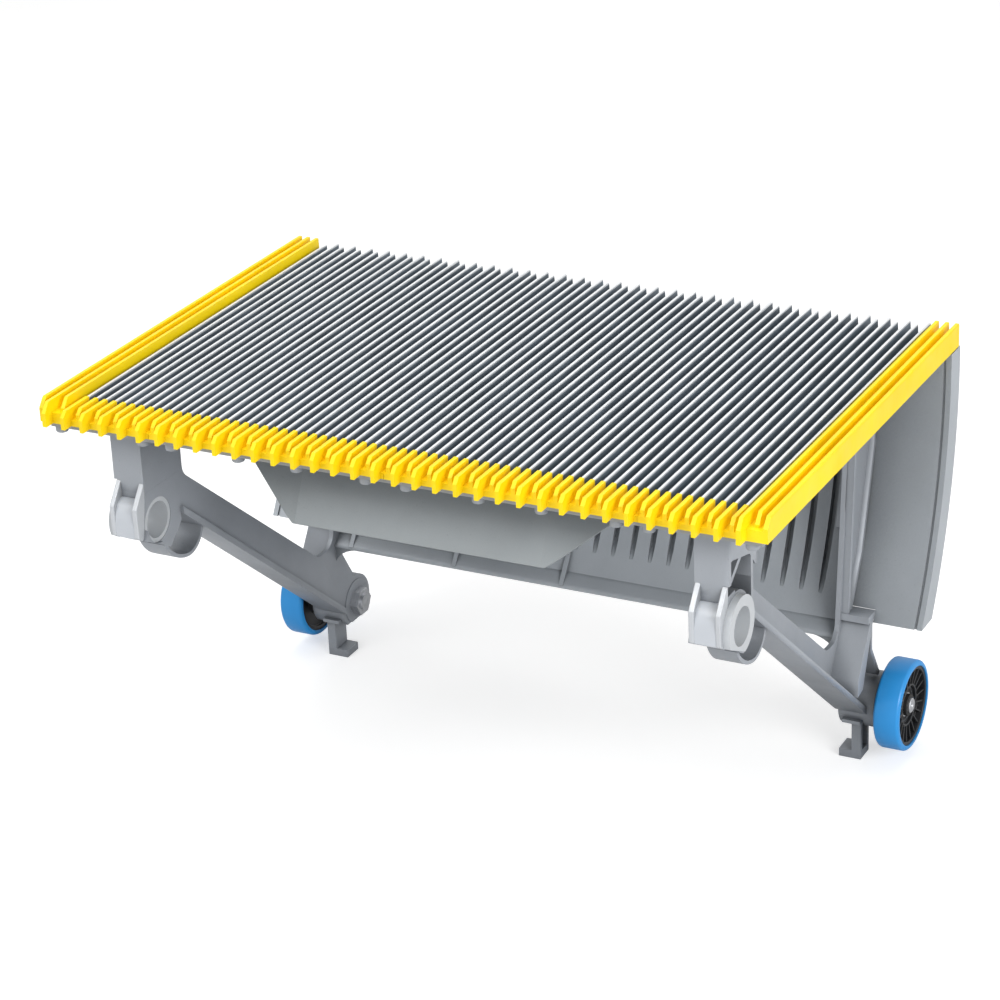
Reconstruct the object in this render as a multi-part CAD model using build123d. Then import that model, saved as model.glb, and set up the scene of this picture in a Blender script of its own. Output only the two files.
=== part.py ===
from build123d import *
from math import asin, cos, degrees, radians, sin, sqrt
import os

os.makedirs("parts", exist_ok=True)

# Escalator step, in millimetres. X runs across the step, Y from the rear comb to the riser
# and Z up. The origin is the middle of the chain axle that the two front seats hold.

# Comb of the tread, shared by the plate, the yellow strips and the riser.
PITCH = 25.4 / 3
METAL_CLEATS = 66
STRIP_CLEATS = 3
EDGE_STRIP = 22.6
HALF_METAL = METAL_CLEATS / 2 * PITCH
HALF_WIDTH = HALF_METAL + EDGE_STRIP
CLEAT_TOP = 2.0
CLEAT_ROOT = 3.0
CLEAT_HEIGHT = 10.0

# Tread plate.
TREAD_Z = 105.0
DECK_TOP = TREAD_Z - CLEAT_HEIGHT
DECK_THICK = 5.0
DECK_BOTTOM = DECK_TOP - DECK_THICK
METAL_FRONT = -18.0
SHORT_END = 354.0
LONG_END = SHORT_END + 6
SHELF_TOP = DECK_TOP - 4
SHELF_BOTTOM = SHELF_TOP - DECK_THICK
RAIL_FRONT = -40.0
RAIL_REAR = -8.0
RAIL_HALF = HALF_WIDTH - 6
SHELF_HALF = HALF_WIDTH - 12
SHELF_END = SHORT_END - 22
PAD_BOTTOM = 84.0
RIB_THICK = 4.0
RIB_BOTTOM = 78.0
RIB_ROWS = (110, 200, 285)

# Yellow strips.
STRIP_BASE_FRONT = -45.0
LONG_FRONT = -54.0
FINGER_WIDTH = 3.2
FINGER_TOP = TREAD_Z + 0.5
FINGER_BEVEL = 4.5
OUTER_STRIP_CLEATS = 9
SIDE_TOP = 110.0
SIDE_FLOOR = 100.0
RIDGE_TOP = 2.8
RIDGE_ROOT = 3.6

# Riser plate: flats rolled round one centre.
RISER_Z = 80.0
RISER_INNER_R = 383.0
RISER_FLOOR_R = RISER_INNER_R + 10
RISER_TIP_R = RISER_FLOOR_R + 11
RISER_Y = SHORT_END + 4 - RISER_TIP_R
RISER_FLATS = 3
RISER_TOP = DECK_BOTTOM
RISER_BOTTOM = -149.0
RISER_SIDE_BOTTOM = -126.0
RISER_FLANGE_FRONT = SHORT_END - 56
SLOT_WIDTH = 6.0
SLOT_DEPTH = 6.5
SLOT_TOP = 60.0
SLOT_POINT = -112.0
SLOT_STEP = 2 * PITCH

# Side brackets. Each has a web with a window and a wheel boss, and stands back from the side.
BRACKET_SETBACK = 65.0
WEB_THICK = 4.0
WEB_OUT = HALF_WIDTH - BRACKET_SETBACK
WEB_IN = WEB_OUT - WEB_THICK
FLANGE_OUT = WEB_OUT + 23
BOLT_FLANGE_IN = WEB_IN - 21
BOLT_FLANGE_FRONT = 52.0
BRACKET_TOP = PAD_BOTTOM
BRACKET_THICK = 4.0
LEG_FRONT = -15.0
LEG_REAR = 40.0
REAR_LEG = SHORT_END - 79
ARM_UPPER = ((42.0, 22.0), (REAR_LEG - 53, -126.0))
ARM_LOWER = ((42.0, -15.9), (REAR_LEG - 3, -208.4))
ARM_FLANGE = 6.5
LEDGE_TOP = -117.0
LEDGE_THICK = 6.0
REAR_WALL = ((REAR_LEG, -120.0), (REAR_LEG, -149.0), (REAR_LEG + 18, -178.0))

# Chain axle seat, a block of its own in the lower front corner of the bracket.
SEAT_TOP = 28.0
SEAT_REAR = 33.0
AXLE_R = 15.0
BUSH_R = 18.5
BUSH_FLANGE_R = 23.5
BUSH_FLANGE_IN = WEB_OUT + 21
BUSH_FLANGE_OUT = BUSH_FLANGE_IN + 5.3
BARREL_R = 26.0
CHORD = 18.0
CHORD_ANGLE = 242.9
CAP_IN = WEB_OUT + 2
CAP_OUT = CAP_IN + 14
CAP_R = 24.5
GUARD_THICK = 3.0
GUARD = ((7.0, -24.5), (21.5, -40.7), (40.0, -47.4), (54.5, -42.5), (62.0, -26.0))

# Trailer wheel.
WHEEL_Y = REAR_LEG + 20
WHEEL_Z = -205.0
WHEEL_R = 38.0
WHEEL_IN = WEB_OUT + 31
WHEEL_OUT = WHEEL_IN + 22
TYRE_BORE_R = 33.5
RIM_R = 30.5
HUB_RECESS = 5.0
HUB_SPOKES = 20
SPOKE_THICK = 1.6
SPOKE_DEPTH = 4.4
BEARING_R = 16.0
INNER_RACE_R = 10.0
AXLE_PIN_R = 7.5
AXLE_HEAD_R = 9.0
AXLE_HEAD = 3.0
BEARING_WIDTH = 9.0
RUN_GAP = 0.05
BOSS_R = 24.0
BOSS_PAD_R = 20.0
BOSS_BOTTOM = -222.0
BOSS_PAD_IN = WEB_IN - 1
WHEEL_BOSS_OUT = WHEEL_IN - 4
NUT_IN = BOSS_PAD_IN - 7
NUT_FLATS = 22.0

# Anti-lift hook under the wheel boss.
HOOK_SEAT_Z = -215.0
HOOK_PLATE = 3.0
HOOK_IN = WEB_OUT + 7
HOOK_OUT = HOOK_IN + 8
HOOK_FRONT = WHEEL_Y - 21
HOOK_REAR = WHEEL_Y - 2
HOOK_BOTTOM = -252.6
HOOK_FOOT = 7.0

# Longer than anything on the step, for cutters.
FAR = 700.0


# Helpers.

def side(points, x_from, x_to, rounds=()):
    """Pushes a depth and height outline across the step, with named corners rounded first."""
    face = make_face(Polyline(*points, close=True))
    for y, z, radius in rounds:
        corner = face.vertices().sort_by_distance((y, z, 0))[0]
        face = fillet(corner, radius)
    return extrude(Plane.YZ.offset(x_from) * face, x_to - x_from)


def rod(radius, x_from, x_to, y=0.0, z=0.0):
    """A round bar across the step."""
    face = Pos(y, z) * Circle(radius)
    return extrude(Plane.YZ.offset(x_from) * face, x_to - x_from)


def block(x_from, x_to, y_from, y_to, z_from, z_to):
    """A plain rectangular bar or pad."""
    size = (x_to - x_from, y_to - y_from, z_to - z_from)
    middle = ((x_from + x_to) / 2, (y_from + y_to) / 2, (z_from + z_to) / 2)
    return Pos(*middle) * Box(*size)


def turned(points, y=WHEEL_Y, z=WHEEL_Z):
    """A solid turned about an axle, from points of width and radius."""
    face = make_face(Polyline(*[(x, y + r) for x, r in points], close=True))
    axle = Axis((0, y, z), (1, 0, 0))
    return revolve(Plane.XY.offset(z) * face, axle, 360)


def ring(r_out, r_in, x_from, x_to, y=WHEEL_Y, z=WHEEL_Z):
    """A plain turned ring."""
    points = ((x_from, r_in), (x_to, r_in), (x_to, r_out), (x_from, r_out))
    return turned(points, y, z)


def both(part):
    """The part and its mirror image on the other side of the step."""
    return Compound([*part.solids(), *mirror(part, about=Plane.YZ).solids()])


def odd(n):
    """Whether a cleat is one of the long ones at the rear edge."""
    return n % 2 == 1


def cleat_x(n):
    """Middle of cleat n. Cleats 0 and -1 stand on either side of the middle groove."""
    return (n + 0.5) * PITCH


def arc_depth(radius, z):
    """Depth of the riser's round at a height."""
    return RISER_Y + sqrt(radius**2 - (z - RISER_Z) ** 2)


def riser_line(radius):
    """The riser's flats at a radius. All radii share the corner rays, so layers fit face to face."""
    top = degrees(asin((RISER_TOP - RISER_Z) / RISER_INNER_R)) + 1
    bottom = degrees(asin((RISER_BOTTOM - RISER_Z) / RISER_INNER_R)) - 1
    step = (top - bottom) / RISER_FLATS
    turns = [radians(top - k * step) for k in range(RISER_FLATS + 1)]
    return [(RISER_Y + radius * cos(t), RISER_Z + radius * sin(t)) for t in turns]


def on_line(ends, y):
    """Height at a depth on the straight line through two points."""
    (y_1, z_1), (y_2, z_2) = ends
    return z_1 + (y - y_1) * (z_2 - z_1) / (y_2 - y_1)


def layer(r_in, r_out, x_from, x_to):
    """A slice of the riser between two radii, before its top and bottom are trimmed."""
    return side(riser_line(r_out) + riser_line(r_in)[::-1], x_from, x_to)


# Tread plate.

def comb_profile():
    """Deck and cleats across the step, as one outline."""
    points = [(-HALF_METAL, DECK_BOTTOM), (HALF_METAL, DECK_BOTTOM), (HALF_METAL, DECK_TOP)]
    for n in reversed(range(-METAL_CLEATS // 2, METAL_CLEATS // 2)):
        x = cleat_x(n)
        points.append((x + CLEAT_ROOT / 2, DECK_TOP))
        points.append((x + CLEAT_TOP / 2, TREAD_Z))
        points.append((x - CLEAT_TOP / 2, TREAD_Z))
        points.append((x - CLEAT_ROOT / 2, DECK_TOP))
    points.append((-HALF_METAL, DECK_TOP))
    return make_face(Polyline(*points, close=True))


def along(face, y_from, y_to):
    """Pushes an outline of width and height from one depth to another."""
    plane = Plane((0, y_from, 0), x_dir=(1, 0, 0), z_dir=(0, -1, 0))
    return extrude(plane * face, y_from - y_to)


def cleat_tips():
    """The longer ends of every second cleat at the riser."""
    tips = []
    for n in range(-METAL_CLEATS // 2, METAL_CLEATS // 2):
        if not odd(n):
            x = cleat_x(n)
            outline = ((x - CLEAT_ROOT / 2, DECK_TOP), (x + CLEAT_ROOT / 2, DECK_TOP),
                       (x + CLEAT_TOP / 2, TREAD_Z), (x - CLEAT_TOP / 2, TREAD_Z))
            tips.append(along(make_face(Polyline(*outline, close=True)), SHORT_END, LONG_END))
    return tips


def tread_plate():
    plate = along(comb_profile(), METAL_FRONT, SHORT_END)
    plate = plate.fuse(*cleat_tips())
    rail = ((RAIL_FRONT, SHELF_BOTTOM), (RAIL_REAR, SHELF_BOTTOM), (RAIL_REAR, DECK_BOTTOM),
            (METAL_FRONT, DECK_TOP), (METAL_FRONT, SHELF_TOP), (RAIL_FRONT, SHELF_TOP))
    added = [side(rail, -HALF_METAL, HALF_METAL)]
    for way in (-1, 1):
        edges = sorted((way * (HALF_METAL - 3), way * SHELF_HALF))
        added.append(block(*edges, RAIL_FRONT, SHELF_END, SHELF_BOTTOM, SHELF_TOP))
        edges = sorted((way * (HALF_METAL - 1), way * RAIL_HALF))
        added.append(block(*edges, RAIL_FRONT, RAIL_REAR, SHELF_BOTTOM, SHELF_TOP))
        edges = sorted((way * BOLT_FLANGE_IN, way * WEB_OUT))
        added.append(block(*edges, BOLT_FLANGE_FRONT, RISER_FLANGE_FRONT, PAD_BOTTOM, DECK_BOTTOM))
        edges = sorted((way * WEB_IN, way * FLANGE_OUT))
        added.append(block(*edges, LEG_FRONT, 60, PAD_BOTTOM, DECK_BOTTOM))
    for y in RIB_ROWS:
        edge = BOLT_FLANGE_IN - 2
        added.append(block(-edge, edge, y, y + RIB_THICK, RIB_BOTTOM, DECK_BOTTOM))
    return plate.fuse(*added).clean()


# Yellow strips.

def finger(n):
    """One cleat of the rear strip, long or short by its place."""
    front = LONG_FRONT if odd(n) else STRIP_BASE_FRONT
    outline = ((METAL_FRONT, SHELF_TOP), (METAL_FRONT, FINGER_TOP),
               (front + FINGER_BEVEL, FINGER_TOP), (front, FINGER_TOP - FINGER_BEVEL),
               (front, SHELF_TOP))
    x = cleat_x(n)
    return side(outline, x - FINGER_WIDTH / 2, x + FINGER_WIDTH / 2)


def rear_strip(first, last):
    """A length of the rear strip between two seams, counted in pitches."""
    base = block(first * PITCH + 0.2, last * PITCH - 0.2,
                 STRIP_BASE_FRONT, METAL_FRONT, SHELF_TOP, DECK_TOP + 1)
    return base.fuse(*[finger(n) for n in range(first, last)]).clean()


def ridge(n, way):
    """One raised ridge of a side strip."""
    x = cleat_x(n)
    outer = way * x > HALF_WIDTH - 4
    far = HALF_WIDTH - 0.5 * RIDGE_ROOT if outer else way * x
    outline = ((far - RIDGE_ROOT / 2, SIDE_FLOOR - 1), (far + RIDGE_ROOT / 2, SIDE_FLOOR - 1),
               (far + (RIDGE_ROOT if outer else RIDGE_TOP) / 2, SIDE_TOP - (1.5 if outer else 0)),
               (far + (RIDGE_TOP / 2 if outer else 0), SIDE_TOP),
               (far - RIDGE_TOP / 2, SIDE_TOP))
    flat = make_face(Polyline(*[(way * px, pz) for px, pz in outline], close=True))
    front = LONG_FRONT if odd(n) and not outer else STRIP_BASE_FRONT + 5 * (not outer)
    bar = along(flat, front, SHORT_END)
    lean = ((front - 1, SIDE_TOP + 1), (front + 7, SIDE_TOP + 1), (front - 1, SIDE_TOP - 9))
    return bar - side(lean, -FAR, FAR)


def side_strip(way):
    """A yellow strip along one side of the tread."""
    half = METAL_CLEATS // 2
    start = -half - STRIP_CLEATS if way < 0 else half
    inner = HALF_METAL + 0.3
    outline = ((inner, SHELF_TOP), (HALF_WIDTH, SHELF_TOP), (HALF_WIDTH, SIDE_FLOOR),
               (inner + 2.5, SIDE_FLOOR), (inner, SIDE_FLOOR - 3))
    flat = make_face(Polyline(*[(way * px, pz) for px, pz in outline], close=True))
    strip = along(flat, STRIP_BASE_FRONT, SHORT_END)
    ridges = [ridge(n, way) for n in range(start, start + STRIP_CLEATS)]
    for n in range(start, start + STRIP_CLEATS):
        if odd(n) and abs(cleat_x(n)) < HALF_WIDTH - 4:
            x = cleat_x(n)
            ridges.append(block(x - RIDGE_ROOT / 2, x + RIDGE_ROOT / 2,
                                LONG_FRONT, STRIP_BASE_FRONT + 1, SHELF_TOP, SIDE_FLOOR))
    return strip.fuse(*ridges).clean()


# Riser plate.

def riser_slot(x):
    """A tapered recess in the riser's inner side, pointed at its lower end."""
    half = SLOT_WIDTH / 2
    outline = ((x - half, SLOT_TOP), (x + half, SLOT_TOP), (x + half, SLOT_POINT + 40),
               (x, SLOT_POINT), (x - half, SLOT_POINT + 40))
    return along(make_face(Polyline(*outline, close=True)), 0, FAR)


def riser_plate():
    """Curved plate: a wall, outer cleats in line with the tread's, inner recesses and a top flange."""
    wall = layer(RISER_INNER_R, RISER_FLOOR_R, -HALF_WIDTH, HALF_WIDTH)
    cleats = []
    half = METAL_CLEATS // 2 + STRIP_CLEATS
    for n in range(-half, half):
        x = cleat_x(n)
        wide = (HALF_WIDTH - abs(x)) * 2 if abs(n + 0.5) > half - 1 else CLEAT_TOP + 0.5
        cleats.append(layer(RISER_FLOOR_R - 0.5, RISER_TIP_R, x - wide / 2, x + wide / 2))
    wall = wall.fuse(*cleats)
    pockets = layer(RISER_INNER_R - 3, RISER_INNER_R + SLOT_DEPTH, -HALF_WIDTH, HALF_WIDTH)
    count = int((BOLT_FLANGE_IN - SLOT_WIDTH) / SLOT_STEP)
    slots = [riser_slot((k + 0.5) * SLOT_STEP) for k in range(-count, count)]
    cutters = [piece for slot in slots for piece in (slot & pockets).solids()]
    wall = wall.cut(*cutters)
    above = block(-FAR, FAR, 0, FAR, RISER_TOP, FAR)
    below = block(-FAR, FAR, 0, FAR, -FAR, RISER_BOTTOM)
    ends = [block(*sorted((way * FLANGE_OUT, way * FAR)), 0, FAR, -FAR, RISER_SIDE_BOTTOM)
            for way in (-1, 1)]
    legs = [block(*sorted((way * (WEB_IN - 2), way * (FLANGE_OUT + 2))), 0, FAR, -FAR, LEDGE_TOP)
            for way in (-1, 1)]
    wall = wall.cut(above, below, *ends, *legs)
    reach = arc_depth(RISER_INNER_R, PAD_BOTTOM) + 2
    half = HALF_METAL - 4
    flange = block(-half, half, RISER_FLANGE_FRONT, reach, PAD_BOTTOM, RISER_TOP)
    lip = layer(RISER_INNER_R - 5, RISER_INNER_R + 1, -WEB_IN + 4, WEB_IN - 4)
    lip = lip & block(-FAR, FAR, 0, FAR, RISER_BOTTOM, RISER_BOTTOM + 8)
    return wall.fuse(flange, lip).clean()


# Side brackets and axle seats, drawn for the right side.

def chord_trim(x_from, x_to):
    """Everything beyond the flat at the open side of the seat."""
    turn = radians(CHORD_ANGLE)
    plane = Plane((x_from, CHORD * cos(turn), CHORD * sin(turn)),
                  x_dir=(0, -sin(turn), cos(turn)), z_dir=(1, 0, 0))
    face = Pos(0, -BARREL_R) * Rectangle(4 * BARREL_R, 2 * BARREL_R)
    return extrude(plane * face, x_to - x_from)


def web():
    """The flat plate of the bracket with its window, up to the riser's inner face."""
    outline = ((LEG_FRONT, BRACKET_TOP), (LEG_FRONT, SEAT_TOP), (SEAT_REAR, SEAT_TOP),
               (SEAT_REAR, on_line(ARM_LOWER, SEAT_REAR)),
               (REAR_LEG - 6, on_line(ARM_LOWER, REAR_LEG - 6)), (WHEEL_Y, BOSS_BOTTOM),
               *reversed(REAR_WALL), (REAR_LEG, LEDGE_TOP), (FAR, LEDGE_TOP), (FAR, BRACKET_TOP))
    plate = side(outline, WEB_IN, WEB_OUT)
    beyond = layer(RISER_INNER_R, RISER_INNER_R + FAR, WEB_IN - 1, WEB_OUT + 1)
    plate = plate - (beyond & block(0, FAR, 0, 2 * FAR, LEDGE_TOP, FAR))
    top = BRACKET_TOP - 3 * BRACKET_THICK
    end = REAR_LEG - 13
    low = on_line(ARM_UPPER, REAR_LEG - 39)
    window = ((LEG_REAR, top), (end + 24, top), (end, low), (REAR_LEG - 39, low),
              (LEG_REAR, on_line(ARM_UPPER, LEG_REAR)))
    hole = side(window, WEB_IN - 1, WEB_OUT + 1,
                ((LEG_REAR, on_line(ARM_UPPER, LEG_REAR), 14), (LEG_REAR, top, 8),
                 (end + 24, top, 8), (end, low, 14), (REAR_LEG - 39, low, 18)))
    return plate - hole


def front_leg():
    """Front flange, closed upper skin, rear rib and diagonal rib of the front leg."""
    low = LEG_FRONT + BRACKET_THICK
    skin = ((LEG_FRONT, BRACKET_TOP), (LEG_FRONT, 55), (-8, 55), (23, 47), (34, 34), (36, 50),
            (36, BRACKET_TOP))
    front = ((LEG_FRONT, BRACKET_TOP), (LEG_FRONT, SEAT_TOP), (low, SEAT_TOP), (low, BRACKET_TOP))
    rear = ((25, 48), (25, SEAT_TOP), (29, SEAT_TOP), (29, 44))
    wall = ((32, 76), (32, 36), (36, 34), (36, 76))
    slant = ((-11, 40), (-8, 37), (18, 56), (15, 59))
    top = ((LEG_FRONT, BRACKET_TOP), (LEG_FRONT, BRACKET_TOP - 8), (36, BRACKET_TOP - 8),
           (36, BRACKET_TOP))
    notch = block(FLANGE_OUT - 5, FLANGE_OUT + 1, -30, low + 2, 0, SEAT_TOP + 9)
    parts = [side(skin, FLANGE_OUT - 5, FLANGE_OUT), side(front, WEB_OUT - 1, FLANGE_OUT) - notch]
    parts += [side(flat, WEB_OUT - 1, FLANGE_OUT) for flat in (rear, wall, top)]
    return parts + [side(slant, WEB_OUT - 1, FLANGE_OUT - 1)]


def arm_ribs():
    """The flange under the arm, the ledge, the gusset and the wall of the rear leg."""
    end = REAR_LEG - 3
    under = LEDGE_TOP - LEDGE_THICK
    low = ((SEAT_REAR, on_line(ARM_LOWER, SEAT_REAR)), (end, on_line(ARM_LOWER, end)),
           (end, on_line(ARM_LOWER, end) + ARM_FLANGE),
           (SEAT_REAR, on_line(ARM_LOWER, SEAT_REAR) + ARM_FLANGE))
    ledge = ((REAR_LEG - 9, LEDGE_TOP), (REAR_LEG - 9, under), (REAR_LEG + 7, under),
             (REAR_LEG + 7, LEDGE_TOP))
    gusset = ((REAR_LEG - 4, under + 1), (REAR_LEG + 2, under + 1), (REAR_LEG - 21, -176),
              (REAR_LEG - 32, -178), (REAR_LEG - 32, -164))
    wall = [(REAR_LEG, LEDGE_TOP - 1), *REAR_WALL, (REAR_LEG + 15, -180), (REAR_LEG - 4, -150),
            (REAR_LEG - 4, LEDGE_TOP - 1)]
    bead = ((REAR_LEG + 12, 80), (REAR_LEG + 16, 80), (REAR_LEG - 4, LEDGE_TOP - 1),
            (REAR_LEG - 8, LEDGE_TOP - 1))
    parts = [side(low, WEB_IN - 3, FLANGE_OUT - 2), side(ledge, WEB_OUT - 1, FLANGE_OUT + 1),
             side(gusset, WEB_OUT - 1, FLANGE_OUT + 1), side(wall, WEB_OUT - 1, FLANGE_OUT + 1),
             side(bead, WEB_OUT - 1, WEB_OUT + 6)]
    fit = layer(RISER_INNER_R - BRACKET_THICK, RISER_INNER_R, WEB_OUT - 1, WEB_OUT + 5)
    return parts + [fit & block(0, FAR, 0, FAR, LEDGE_TOP - 1, BRACKET_TOP)]


def bolt_flanges():
    """Inner flanges that bolt to the tread and to the riser."""
    top = block(BOLT_FLANGE_IN, WEB_IN + 1, BOLT_FLANGE_FRONT,
                arc_depth(RISER_INNER_R, BRACKET_TOP) - 6, BRACKET_TOP - BRACKET_THICK, BRACKET_TOP)
    rear = layer(RISER_INNER_R - BRACKET_THICK, RISER_INNER_R, BOLT_FLANGE_IN, WEB_IN + 1)
    return [top, rear & block(0, FAR, 0, FAR, -60, 66)]


def bracket():
    """The whole right bracket."""
    boss = rod(BOSS_R, WEB_IN, WHEEL_BOSS_OUT, WHEEL_Y, WHEEL_Z)
    pad = rod(BOSS_PAD_R, BOSS_PAD_IN, WEB_IN + 1, WHEEL_Y, WHEEL_Z)
    part = web().fuse(*front_leg(), *arm_ribs(), *bolt_flanges(), boss, pad)
    cuts = [rod(AXLE_PIN_R, 0, FAR, WHEEL_Y, WHEEL_Z),
            block(0, FAR, SEAT_REAR, FAR, -FAR, BOSS_BOTTOM),
            block(WEB_OUT, HOOK_OUT + 2, SEAT_REAR, FAR, -FAR, HOOK_SEAT_Z)]
    return part.cut(*cuts).clean()


def guard():
    """Curved guard behind the seat, from the seat's foot to the underside of the arm."""
    face = trace(ThreePointArc(*GUARD[:3]) + ThreePointArc(*GUARD[2:]), GUARD_THICK)
    strip = extrude(Plane.YZ.offset(WEB_IN) * face, FLANGE_OUT - 4 - WEB_IN)
    arm = ((SEAT_REAR, on_line(ARM_LOWER, SEAT_REAR)), (100, on_line(ARM_LOWER, 100)), (100, 0),
           (SEAT_REAR, 0))
    return strip - side(arm, 0, FAR)


def axle_seat():
    """Barrel round the axle bush, open along its chord, with the guard behind it."""
    barrel = rod(BARREL_R, WEB_OUT - 1, BUSH_FLANGE_IN)
    front = side(((LEG_FRONT, SEAT_TOP), (LEG_FRONT, 22), (-21, -10), (0, -20), (0, SEAT_TOP)),
                 WEB_OUT - 1, BUSH_FLANGE_IN)
    plate = side(((LEG_FRONT, SEAT_TOP), (LEG_FRONT, 22), (-21, -10), (6, -25), (15, -30),
                  (SEAT_REAR, -14), (SEAT_REAR, SEAT_TOP)), WEB_IN, WEB_OUT)
    edge = side(((-21, -10), (-15, 10), (0, 10), (0, -21)), WEB_IN - 3, WEB_OUT)
    foot = side(((6, -20), (6, -25), (15, -30), (SEAT_REAR, -14), (30, 0)),
                WEB_OUT - 1, BUSH_FLANGE_IN)
    rib = side(((25, SEAT_TOP), (25, 2), (29, 2), (29, SEAT_TOP)), WEB_OUT - 1, FLANGE_OUT)
    cheek = side(((-40, 23), (0, 23), (0, 0), (-16, -12), (-22, -30), (-40, -30)), CAP_IN, CAP_OUT)
    open_side = chord_trim(WEB_OUT - 1, BUSH_FLANGE_IN)
    body = barrel.fuse(front).cut(open_side, cheek).fuse(plate, edge, foot, rib, guard())
    return body.cut(rod(BUSH_R, 0, FAR), block(0, FAR, 0, FAR, SEAT_TOP, FAR)).clean()


# Axle bush and its front cap.

def axle_bush():
    """Plastic bush that the chain axle turns in, with a flat on its flange."""
    sleeve = rod(BUSH_R, WEB_IN + 0.4, BUSH_FLANGE_IN + 1)
    flange = rod(BUSH_FLANGE_R, BUSH_FLANGE_IN, BUSH_FLANGE_OUT)
    flange = flange - chord_trim(BUSH_FLANGE_IN - 1, BUSH_FLANGE_OUT + 1)
    return (sleeve + flange) - rod(AXLE_R, 0, FAR)


def seat_cap():
    """Curved cap that closes the front of the seat between its cheeks."""
    body = rod(CAP_R, CAP_IN, CAP_OUT) - rod(BUSH_R, CAP_IN - 1, CAP_OUT + 1)
    return body & side(((-40, 23), (0, 23), (0, 0), (-16, -12), (-22, -30), (-40, -30)),
                       CAP_IN, CAP_OUT)


# Stiffening web under the tread.

def stiffening_web():
    """Pressed plate that leans forward under the tread, with its ends swept back."""
    path = Polyline((-165, 46), (-105, 0), (105, 0), (165, 46))
    lean = 0.43
    depth = DECK_BOTTOM - 17
    plan = Plane.XY.offset(DECK_BOTTOM) * (Pos(0, 32) * trace(path, 3.5))
    sheet = extrude(plan, amount=depth, dir=(0, -lean, -1))
    outline = ((-163, DECK_BOTTOM), (163, DECK_BOTTOM), (126, 27), (106, 17), (-106, 17),
               (-126, 27))
    sheet = sheet & along(make_face(Polyline(*outline, close=True)), -FAR, FAR)
    flange = block(-100, 100, 32, 50, DECK_BOTTOM - 3.5, DECK_BOTTOM)
    return sheet + flange


# Trailer wheels.

MID = (WHEEL_IN + WHEEL_OUT) / 2
BEARING_IN = MID - BEARING_WIDTH / 2
BEARING_OUT = MID + BEARING_WIDTH / 2


def tyre():
    """Polyurethane tyre."""
    return ring(WHEEL_R, TYRE_BORE_R, WHEEL_IN, WHEEL_OUT)


def hub():
    """Moulded hub: rim and disc in one turned outline, with thin spokes in the outer recess."""
    inner = WHEEL_IN + 1
    outer = WHEEL_OUT - 1
    disc = outer - HUB_RECESS
    body = turned(((inner, BEARING_R), (disc, BEARING_R), (disc, RIM_R), (outer, RIM_R),
                   (outer, TYRE_BORE_R), (inner, TYRE_BORE_R)))
    length = RIM_R - BEARING_R
    bar = Box(SPOKE_DEPTH + 0.5, length, SPOKE_THICK)
    bar = Pos(disc - 0.25 + SPOKE_DEPTH / 2, BEARING_R + 0.5 + length / 2, 0) * bar
    spokes = [Pos(0, WHEEL_Y, WHEEL_Z) * Rot(k * 360 / HUB_SPOKES, 0, 0) * bar
              for k in range(HUB_SPOKES)]
    return body.fuse(*spokes).clean()


def bearing_outer_ring():
    """Outer ring and seal of the ball bearing, pressed into the hub."""
    return ring(BEARING_R, INNER_RACE_R + RUN_GAP, BEARING_IN, BEARING_OUT)


def bearing_inner_ring():
    """Long inner ring that also keeps the wheel clear of the boss."""
    return ring(INNER_RACE_R, AXLE_PIN_R, WHEEL_BOSS_OUT, BEARING_OUT)


def wheel_axle():
    """Headed pin that carries the bearing, threaded at its inner end."""
    pin = rod(AXLE_PIN_R, NUT_IN - 2, BEARING_OUT + 1, WHEEL_Y, WHEEL_Z)
    return pin + rod(AXLE_HEAD_R, BEARING_OUT, BEARING_OUT + AXLE_HEAD, WHEEL_Y, WHEEL_Z)


def nut():
    """Hexagon nut at the inner end of the wheel axle."""
    flat = Pos(WHEEL_Y, WHEEL_Z) * RegularPolygon(NUT_FLATS / 2, 6, major_radius=False)
    body = extrude(Plane.YZ.offset(NUT_IN) * flat, BOSS_PAD_IN - NUT_IN)
    return body - rod(AXLE_PIN_R, NUT_IN - 1, BOSS_PAD_IN + 1, WHEEL_Y, WHEEL_Z)


# Anti-lift hook.

def hook():
    """Cast foot under the wheel boss that runs beneath the track's guide."""
    low = HOOK_SEAT_Z - HOOK_PLATE
    plate = block(WEB_OUT + 0.2, HOOK_OUT + 1, HOOK_FRONT - 5, HOOK_REAR + 7, low, HOOK_SEAT_Z)
    post = block(HOOK_IN, HOOK_OUT, HOOK_FRONT, HOOK_REAR, HOOK_BOTTOM, HOOK_SEAT_Z - 1)
    groove = block(HOOK_IN + 3, HOOK_OUT + 1, HOOK_FRONT + 4, HOOK_REAR - 4,
                   HOOK_BOTTOM + HOOK_FOOT, low - 3)
    foot = block(WEB_IN, HOOK_IN + 1, HOOK_FRONT, HOOK_REAR, HOOK_BOTTOM,
                 HOOK_BOTTOM + HOOK_FOOT)
    return (plate + post + foot) - groove


# Assembly.

def save(name, part):
    """Writes one node."""
    export_step(part, f"parts/{name}.step")


def save_pair(name, part):
    """Writes a right-hand node and its mirror image."""
    save("right_" + name, part)
    save("left_" + name, mirror(part, about=Plane.YZ))


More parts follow.
